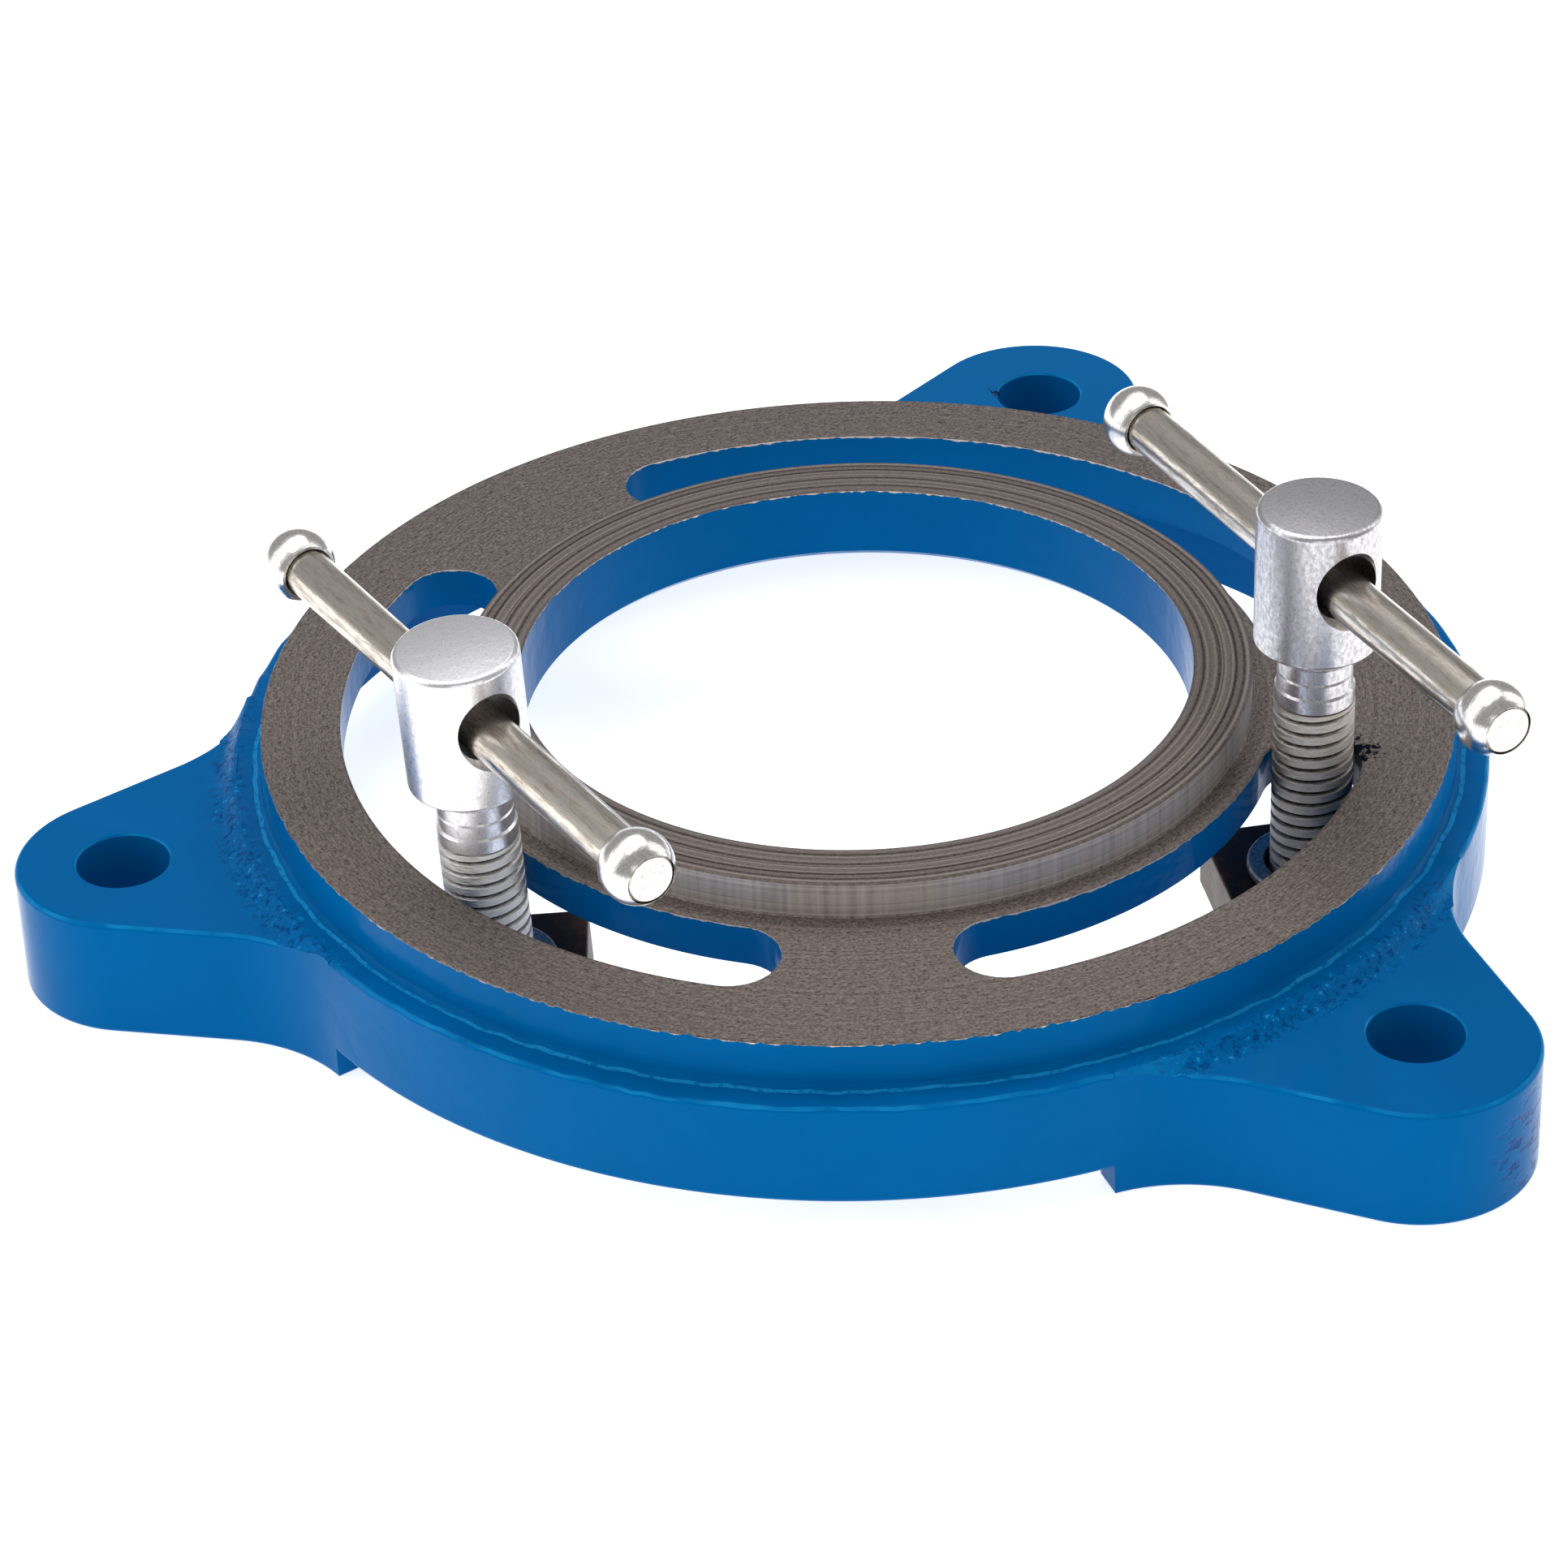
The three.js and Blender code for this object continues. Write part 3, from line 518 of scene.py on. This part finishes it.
def castingRing(s):
    foot = s["faceRadius"] + s["draft"]
    f, e, b, r = s["footFillet"], s["edge"], s["edgeBreak"], s["spigotEdge"]
    ring = spunProfile([
        (s["boreRadius"], s["skirtLift"]),
        (s["boreRadius"], s["spigotTop"] - b),
        (s["boreRadius"] + b, s["spigotTop"]),
        (s["spigotRadius"] - r, s["spigotTop"]),
        (s["spigotRadius"], s["spigotTop"] - r),
        (s["spigotRadius"], s["faceHeight"] + b),
        (s["spigotRadius"] + b, s["faceHeight"]),
        (s["faceRadius"] - b, s["faceHeight"]),
        (s["faceRadius"], s["faceHeight"] - b),
        *arcPoints((foot + f, s["ledge"] + f), f, 180, 270, 6),
        (s["ledgeMiddle"], s["ledge"]),
        *arcPoints((s["flangeRadius"] - e, s["ledge"] - e), e, 90, 0, 5),
        *arcPoints((s["flangeRadius"] - e, s["skirtLift"] + e), e, 0, -90, 5),
    ], s["steps"], closed=True)
    low, high = (s["ledge"] + part for part in s["ledgeBand"])
    for vert in ring.verts:  # runs and lumps of the sand mould along the ledge
        if foot + 0.1 < hypot(vert.co.x, vert.co.y) and low < vert.co.z < high:
            vert.co.z += s["lump"] * wavy(vert.co, s["ledgeWaves"])
    return ring


def lugOutline(s):
    # a round end, two straight flanks and hollow roots that run into the flange, along +X
    taper = radians(s["lugTaper"])
    reach = s["lugPitch"] * sin(taper) + s["lugEnd"] + s["lugRoot"]
    back = sqrt((s["flangeRadius"] + s["lugRoot"]) ** 2 - reach ** 2)
    root = (reach * sin(taper) + back * cos(taper), reach * cos(taper) - back * sin(taper))
    meets = degrees(atan2(root[1], root[0]))
    flank = 90 - s["lugTaper"]
    flange = polar(s["flangeRadius"], meets)
    tip = (s["lugPitch"] + s["lugEnd"] * cos(radians(flank)), s["lugEnd"] * sin(radians(flank)))
    hollow = polar(s["lugRoot"], flank)
    return spunOutline((flange[0], -flange[1]), [
        ((root[0], -root[1]), meets - flank, 14),
        ((tip[0], -tip[1]), None, 0),
        ((s["lugPitch"], 0), 2 * flank, 40),
        ((root[0] - hollow[0], root[1] - hollow[1]), None, 0),
        (root, meets - flank, 14),
        (polar(s["spigotRadius"], meets), None, 0),
        ((0, 0), -2 * meets, 12),
    ])


def lugsAndBlend(s):
    # the lugs, and the lumpy slope from the ledge down to their tops
    others, prisms = [], bmesh.new()
    for angle in s["lugAngles"]:
        turn = Matrix.Rotation(radians(angle), 3, "Z")
        outline = lugOutline(s)
        prism = raised(outline.copy(), s["ledge"] - s["blendDrop"], s["blendHeight"])
        bmesh.ops.rotate(prism, verts=prism.verts, cent=(0, 0, 0), matrix=turn)
        prisms.from_mesh(meshOf(prism, "prism"))
        lug = raised(outline, 0, s["lugTop"], s["edge"], 5)
        bmesh.ops.rotate(lug, verts=lug.verts, cent=(0, 0, 0), matrix=turn)
        others.append(("UNION", scratchObject(meshOf(lug, "lug"), "lug")))
    blend = spunProfile(s["blend"], s["steps"], closed=True)
    for vert in blend.verts:
        if vert.co.z > s["blendFloor"]:
            vert.co.z += s["lump"] * wavy(vert.co, s["blendWaves"])
    blend = carved(scratchObject(meshOf(blend, "blend"), "blend"),
                   [("INTERSECT", scratchObject(meshOf(prisms, "prisms"), "prisms"))])
    return others + [("UNION", scratchObject(blend, "blend"))]


def channelCutter(s):
    # the hollow under the slotted plate, open to the bench
    step = s["skirtInside"] - s["channelNarrow"]
    c, under, lead = s["channelFillet"], s["plateUnder"], s["boreRadius"] + s["boreLead"]
    channel = spunProfile([
        (0, -s["cutPast"]), (s["skirtInside"] + s["skirtFlare"], -s["cutPast"]),
        (s["skirtInside"], s["flareTop"] + s["skirtLift"]), (s["skirtInside"], s["channelWide"]),
        (s["channelNarrow"], s["channelWide"] + step),
        *arcPoints((s["channelNarrow"] - c, under - c), c, 0, 90, 6),
        (lead, under), (lead - s["boreLeadRise"], under + s["boreLeadRise"]), (0, under + s["boreLeadRise"]),
    ], s["steps"])
    return scratchObject(meshOf(channel, "channel"), "channel")


def slotCutter(s, middle, span):
    half = s["slotWidth"] / 2
    tips = degrees(half / s["slotRadius"])
    start, end = middle - span / 2 + tips, middle + span / 2 - tips
    along = round((end - start) * s["steps"] / 360)
    slot = raised(spunOutline(polar(s["slotRadius"] + half, start), [
        ((0, 0), end - start, along),
        (polar(s["slotRadius"], end), 180, s["slotEndSteps"]),
        ((0, 0), start - end, along),
        (polar(s["slotRadius"], start), 180, s["slotEndSteps"]),
    ]), s["plateUnder"] - s["cutPast"], s["slotCut"])
    return scratchObject(meshOf(slot, "slot"), "slot")


def holeCutter(s, angle, distance):
    rim = s["lugHole"] + s["holeRim"]
    hole = spunProfile([(0, -s["cutPast"]), (s["lugHole"], -s["cutPast"]), (s["lugHole"], s["lugTop"] - s["holeRim"]),
                        (rim, s["lugTop"]), (rim, s["lugTop"] + s["cutPast"]), (0, s["lugTop"] + s["cutPast"])],
                       s["holeSteps"])
    place = Matrix.Rotation(radians(angle), 4, "Z") @ Matrix.Translation((distance, 0, 0))
    bmesh.ops.transform(hole, matrix=place, verts=hole.verts)
    return scratchObject(meshOf(hole, "hole"), "hole")


def buildCasting(s):
    others = lugsAndBlend(s)
    others.append(("DIFFERENCE", channelCutter(s)))
    others += [("DIFFERENCE", slotCutter(s, *slot)) for slot in s["slots"]]
    others += [("DIFFERENCE", holeCutter(s, *hole)) for hole in s["holes"]]
    mesh = carved(scratchObject(meshOf(castingRing(s), "ring"), "ring"), others)
    mesh.name = "enamelled_casting"
    mesh.transform(Matrix.Translation(ringCentre) @ Matrix.Scale(mm, 4))
    showPiece(mesh, "enamelled_casting", enamelledCasting(enamelLook, s), "base", s["sharpFrom"],
              ("base_casting",))


buildCasting(castingSizes)
print("casting built")


# how each screw stands: its head's underside above the pivot point in mid plate, its lean, the turn of
# its clamp plate, how far its bar is slid through, and its zinc and crest colours, paler on the left
standing = {
    "right": {"head": 26.0, "lean": 0.0, "plateTurn": 29.4, "slid": 2.95,
              "zinc": ("#D2D0D3", "#9E9C9F"), "crests": ("#D2CBC3", "#96928E")},
    "left": {"head": 20.85, "lean": 3.0, "plateTurn": 51.2, "slid": 0.8,
             "zinc": ("#F6F5F7", "#CBC9CC"), "crests": ("#FAF7F3", "#DAD7D3")},
}


def screwAxes(side):
    # a screw's own axes: Z up the screw and X along its bar
    turnJoint = joints[side + "_turn"]
    axis = Vector(turnJoint["axis"]).normalized()
    along = Vector(joints[side + "_bar_slide"]["axis"]).normalized()
    across = axis.cross(along).normalized()
    along = across.cross(axis)
    place = Matrix.Translation(Vector(turnJoint["pos_m"])) @ Matrix((along, across, axis)).transposed().to_4x4()
    return place, along, across


screwSizes = {
    "headLength": 23.0, "headRadius": 9.5, "headRound": 1.0, "crown": 0.25, "underRound": 0.5,
    "holeDrop": 10.0, "holeRadius": 5.2, "holeFlare": 5.2, "holeStraight": 7.9, "holeReach": 14.0,
    "neckRadius": 5.8, "neckLength": 7.6, "neckFillet": 0.4, "grooves": (2.45, 5.25), "grooveDepth": 0.25,
    "collarRadius": 6.15, "collarStep": 0.35, "plainLength": 10.4, "endChamfer": 0.3,
    "rootRadius": 5.4, "pitch": 25.4 / 12, "shankLength": 46.4,
    "form": ((5.4, 0.0), (5.5, 0.05), (6.13, 0.17), (6.25, 0.22), (6.2, 0.5), (6.25, 0.80), (6.13, 0.85),
             (5.5, 0.96), (5.4, 1.0)),  # one pitch of thread: radius, share of the pitch
    "steps": 96, "holeSteps": 64, "threadSteps": 48,
    "zinc": {"stretch": (1, 1, 0.6), "rippleSize": 2.0, "scuffSize": 0.6, "roughness": (0.22, 0.40),
             "scuffShare": 0.45, "bumpStrength": 0.5, "bumpHeight": 0.10},
    "threadLook": {"rootRadius": 5.4, "crestRadius": 6.15, "darkeningTop": 14.0, "darkeningBottom": 4.0, "grimeSize": 1.1,
            "wear": 0.25, "burr": 0.35, "roughness": (0.18, 0.5), "hollows": ("#3A342E", "#100E0D")},
}


def buildHead(side, s, stand, place):
    head, top = stand["head"], stand["head"] + s["headLength"]
    neck, collar, groove, end = s["neckRadius"], s["collarRadius"], s["grooveDepth"], s["endChamfer"]
    plain = head - s["plainLength"]
    grooves = [point for depth in s["grooves"] for point in (
        (neck, head - depth + groove), (neck - groove, head - depth), (neck, head - depth - groove))]
    body = spunProfile([
        (0, top + s["crown"]), (s["headRadius"] * 0.5, top + s["crown"] * 0.8),
        *arcPoints((s["headRadius"] - s["headRound"], top - s["headRound"]), s["headRound"], 86, 0, 5),
        *arcPoints((s["headRadius"] - s["underRound"], head + s["underRound"]), s["underRound"], 0, -90, 3),
        (neck + s["neckFillet"], head), (neck, head - s["neckFillet"]), *grooves,
        (neck, head - s["neckLength"]), (collar, head - s["neckLength"] - s["collarStep"]),
        (collar, plain + end), (collar - end, plain), (s["rootRadius"] - end, plain - end), (0, plain - end),
    ], s["steps"])
    wide, reach, straight = s["holeRadius"] + s["holeFlare"], s["holeReach"], s["holeStraight"]
    hole = spunProfile([(0, reach), (wide, reach), (s["holeRadius"], straight),
                        (s["holeRadius"], -straight), (wide, -reach), (0, -reach)], s["holeSteps"])
    turnHole = Matrix.Translation((0, 0, top - s["holeDrop"])) @ Matrix.Rotation(pi / 2, 4, "Y")
    bmesh.ops.transform(hole, matrix=turnHole, verts=hole.verts)
    mesh = carved(scratchObject(meshOf(body, "head"), "head"),
                  [("DIFFERENCE", scratchObject(meshOf(hole, "hole"), "hole"))])
    mesh.transform(place @ Matrix.Scale(mm, 4))
    zinc = brightPlated(f"zincPlated_{side}", {**s["zinc"], "bright": stand["zinc"][0], "dull": stand["zinc"][1]},
                        place)
    showPiece(mesh, f"screw_head_{side}", zinc, f"{side}_screw", 32, (f"clamp_screw_{side}",))


def buildThread(side, s, stand, place):
    # one pitch of the form, swept as a screw, cut square at both ends and closed
    bm = bmesh.new()
    p, steps = s["pitch"], s["threadSteps"]
    top, bottom = stand["head"] - s["plainLength"], stand["head"] - s["shankLength"]
    turns = int((top - bottom) / p) + 3
    verts = [bm.verts.new((radius, 0, bottom - 1.5 * p + share * p)) for radius, share in s["form"]]
    edges = [bm.edges.new(pair) for pair in zip(verts, verts[1:])]
    bmesh.ops.spin(bm, geom=verts + edges, cent=(0, 0, 0), axis=(0, 0, 1), dvec=(0, 0, p / steps),
                   angle=2 * pi * turns, steps=steps * turns)
    bmesh.ops.remove_doubles(bm, verts=bm.verts, dist=0.01)
    for height, way in ((top, 1), (bottom, -1)):
        bmesh.ops.bisect_plane(bm, geom=list(bm.verts) + list(bm.edges) + list(bm.faces), dist=1e-4,
                               plane_co=(0, 0, height), plane_no=(0, 0, way), clear_outer=True)
    bmesh.ops.holes_fill(bm, edges=[e for e in bm.edges if e.is_boundary], sides=0)
    bmesh.ops.recalc_face_normals(bm, faces=bm.faces)
    threadFinish = darkRootedThread(f"darkRootedThread_{side}", {**s["threadLook"], "crests": stand["crests"]}, place)
    placePiece(bm, f"screw_thread_{side}", threadFinish, f"{side}_screw", place, 40)


barSizes = {
    "radius": 3.75, "length": 108.0, "drop": 1.15, "edge": 0.3, "steps": 64,
    "nickel": {"bright": "#D6CFC5", "dull": "#8A7D70", "stretch": (1, 1, 0.14), "rippleSize": 1.6, "scuffSize": 0.8,
               "roughness": (0.12, 0.36), "scuffShare": 0.4, "bumpStrength": 0.5, "bumpHeight": 0.10},
}


def buildBar(side, s, place):
    half, edge = s["length"] / 2, s["edge"]
    bar = spunProfile([(0, half), (s["radius"] - edge, half), (s["radius"], half - edge),
                       (s["radius"], -half + edge), (s["radius"] - edge, -half), (0, -half)], s["steps"])
    nickel = brightPlated(f"nickelPlatedBar_{side}", s["nickel"], place)
    return placePiece(bar, f"bar_{side}", nickel, f"{side}_bar", place, 30, (f"tommy_bar_{side}",))


capSizes = {
    "radius": 5.6, "inset": 4.0, "inner": 3.3, "bore": 3.87, "lipRadius": 4.1, "lip": 0.3, "mouthOut": 0.05,
    "mouthIn": 0.4, "steps": 64,
    "bright": {"bright": "#EFEDEA", "dull": "#B5B1AC", "stretch": (1, 1, 4), "rippleSize": 1.6, "scuffSize": 0.6,
               "roughness": (0.12, 0.30), "scuffShare": 0.3, "bumpStrength": 0.45, "bumpHeight": 0.07},
}


def buildCap(side, end, turn, s, centre):
    opening = degrees(atan2(s["inset"], sqrt(s["radius"] ** 2 - s["inset"] ** 2)))
    inner = -degrees(atan2(s["inner"], sqrt(s["radius"] ** 2 - s["inner"] ** 2)))
    cap = spunProfile([
        (s["bore"], -s["inner"] + s["lip"]), (s["lipRadius"], -s["inner"]),
        *arcPoints((0, 0), s["radius"], inner, opening, 16),
        (s["bore"], s["inset"] + s["mouthOut"]), (s["bore"], s["inset"] - s["mouthIn"]),
    ], s["steps"], closed=True)
    place = centre @ Matrix.Rotation(turn, 4, "X")
    chrome = brightPlated(f"brightCap_{side}_{end}", s["bright"], place)
    placePiece(cap, f"cap_{side}_{end}", chrome, f"{side}_bar", place, 30, (f"bar_cap_{side}_{end}",))
    return chrome


plateSizes = {
    "width": 28.0, "thickness": 9.5, "edge": 0.6, "tapRadius": 6.65, "tapReach": 6.0, "mouth": 1.0, "tapSteps": 64,
    "pivot": 26.15, "rest": 0.3,  # the pivot point over the bench, and the gap between pieces that lie on each other
    "scaled": {"scale": "#1E1512", "rust": "#4A2C1C", "sideDark": "#4A423C", "sideLight": "#857B72",
               "blotchSize": 5.0, "lineSize": 1.2, "lineDepth": 0.2, "roughness": (0.35, 0.75)},
}


def plateBottom(s, stand):
    # down a leaning screw to where the plate's lowest corner still clears the bench
    lean = radians(stand["lean"])
    drop = s["width"] / sqrt(2) * sin(lean)
    return -(s["pivot"] - s["rest"] - drop) / cos(lean)


def buildPlate(side, s, stand, place, along, across):
    block = bmesh.new()
    bmesh.ops.create_cube(block, size=1.0)
    bmesh.ops.scale(block, vec=(s["width"], s["width"], s["thickness"]), verts=block.verts)
    bmesh.ops.bevel(block, geom=list(block.edges), offset=s["edge"], segments=3, affect="EDGES", profile=0.5,
                    material=-1)
    half, mouth = s["thickness"] / 2, s["mouth"]
    tapped = spunProfile([(0, -s["tapReach"]), (s["tapRadius"], -s["tapReach"]), (s["tapRadius"], half - mouth),
                          (s["tapRadius"] + 2 * mouth, half + mouth), (0, half + mouth)], s["tapSteps"])
    mesh = carved(scratchObject(meshOf(block, "block"), "block"),
                  [("DIFFERENCE", scratchObject(meshOf(tapped, "tapped"), "tapped"))])
    radial = Vector(joints[side + "_turn"]["pos_m"]) - ringCentre
    turn = atan2(radial.dot(across), radial.dot(along)) + radians(stand["plateTurn"])
    platePlace = place @ Matrix.Translation((0, 0, (plateBottom(s, stand) + half) * mm)) \
        @ Matrix.Rotation(turn, 4, "Z")
    mesh.transform(platePlace @ Matrix.Scale(mm, 4))
    scaled = scaledSteel(f"millScaledSteel_{side}", s["scaled"], platePlace)
    showPiece(mesh, f"plate_{side}", scaled, f"{side}_plate", 30, (f"clamp_plate_{side}",))


washerSizes = {
    "radius": 9.75, "bore": 7.0, "thickness": 1.7, "round": 0.5, "boreEdge": 0.2, "steps": 96,
    "plain": {"bright": "#8E9195", "dull": "#56595D", "stretch": (1, 1, 1), "rippleSize": 2.5, "scuffSize": 0.8,
              "roughness": (0.34, 0.55), "scuffShare": 0.4, "bumpStrength": 0.3, "bumpHeight": 0.08},
}


def buildWasher(side, s, stand, place):
    w, t, r, edge = s["radius"], s["thickness"], s["round"], s["boreEdge"]
    ring = spunProfile([(s["bore"], edge), (s["bore"] + edge, 0), *arcPoints((w - r, r), r, -90, 0, 4),
                        *arcPoints((w - r, t - r), r, 0, 90, 4), (s["bore"] + edge, t), (s["bore"], t - edge)],
                       s["steps"], closed=True)
    onPlate = plateBottom(plateSizes, stand) + plateSizes["thickness"] + plateSizes["rest"]
    washerPlace = place @ Matrix.Translation((0, 0, onPlate * mm))
    steel = brightPlated(f"plainWasher_{side}", s["plain"], washerPlace)
    placePiece(ring, f"washer_ring_{side}", steel, f"{side}_washer", washerPlace, 30, (f"washer_{side}",))


def buildScrewSet(side, stand):
    place, along, across = screwAxes(side)
    buildHead(side, screwSizes, stand, place)
    buildThread(side, screwSizes, stand, place)
    barHeight = stand["head"] + screwSizes["headLength"] - screwSizes["holeDrop"] - barSizes["drop"]
    barPlace = place @ Matrix.Translation((-stand["slid"] * mm, 0, barHeight * mm)) @ Matrix.Rotation(pi / 2, 4, "Y")
    bar = buildBar(side, barSizes, barPlace)
    toCap = (barSizes["length"] / 2 - capSizes["inset"]) * mm
    for end, way, turn in (("near", 1, 0), ("far", -1, pi)):
        chrome = buildCap(side, end, turn, capSizes, barPlace @ Matrix.Translation((0, 0, way * toCap)))
    bar.data.materials.append(chrome)  # the riveted ends are bright like the caps
    for face in bar.data.polygons:
        if abs(face.normal.dot(along)) > 0.9:
            face.material_index = 1
    buildPlate(side, plateSizes, stand, place, along, across)
    buildWasher(side, washerSizes, stand, place)


for side, stand in standing.items():
    buildScrewSet(side, stand)
    print("screw set built:", side)


# lamps: name, place and size in metres before the camera's turn, watts
studio = {
    "floor": "#FAFAFA", "floorSize": 4.0, "floorRoughness": 0.9, "floorGlow": 0.75,
    "lamps": (("overhead", (-0.25, 0.35, 1.5), (1.8, 1.2), 15),
              ("leftWindow", (-1.5, -0.2, 0.8), (1.2, 1.8), 8),
              ("frontFill", (0.5, -1.8, 0.7), (2.0, 1.2), 7),
              ("rightStrip", (1.3, 0.5, 0.9), (0.7, 1.6), 5)),
    "air": "#F4F5F7", "airStrength": 0.4,
}


def buildStudio(s):
    bm = bmesh.new()
    bmesh.ops.create_grid(bm, x_segments=1, y_segments=1, size=s["floorSize"])
    floor = scratchObject(meshOf(bm, "floor"), "floor")
    material, _, shader = newMaterial("whitePaperFloor")
    shader.inputs["Base Color"].default_value = colour(s["floor"])
    shader.inputs["Roughness"].default_value = s["floorRoughness"]
    shader.inputs["Emission Color"].default_value = (1, 1, 1, 1)
    shader.inputs["Emission Strength"].default_value = s["floorGlow"]
    floor.data.materials.append(material)
    turn = Matrix.Rotation(radians(cameraSettings["turn"]), 4, "Z")
    for name, place, size, power in s["lamps"]:
        data = bpy.data.lights.new(name, "AREA")
        data.shape = "RECTANGLE"
        data.size, data.size_y = size
        data.energy = power
        lamp = bpy.data.objects.new(name, data)
        scene.collection.objects.link(lamp)
        spot = turn @ Vector(place)
        lamp.matrix_world = Matrix.Translation(spot) @ (-spot).to_track_quat("-Z", "Y").to_matrix().to_4x4()
    world = bpy.data.worlds.new("studio")
    world.use_nodes = True
    air = world.node_tree.nodes["Background"].inputs
    air["Color"].default_value = colour(s["air"])
    air["Strength"].default_value = s["airStrength"]
    scene.world = world
    scene.view_settings.view_transform = "Standard"


buildStudio(studio)
print("studio lit")
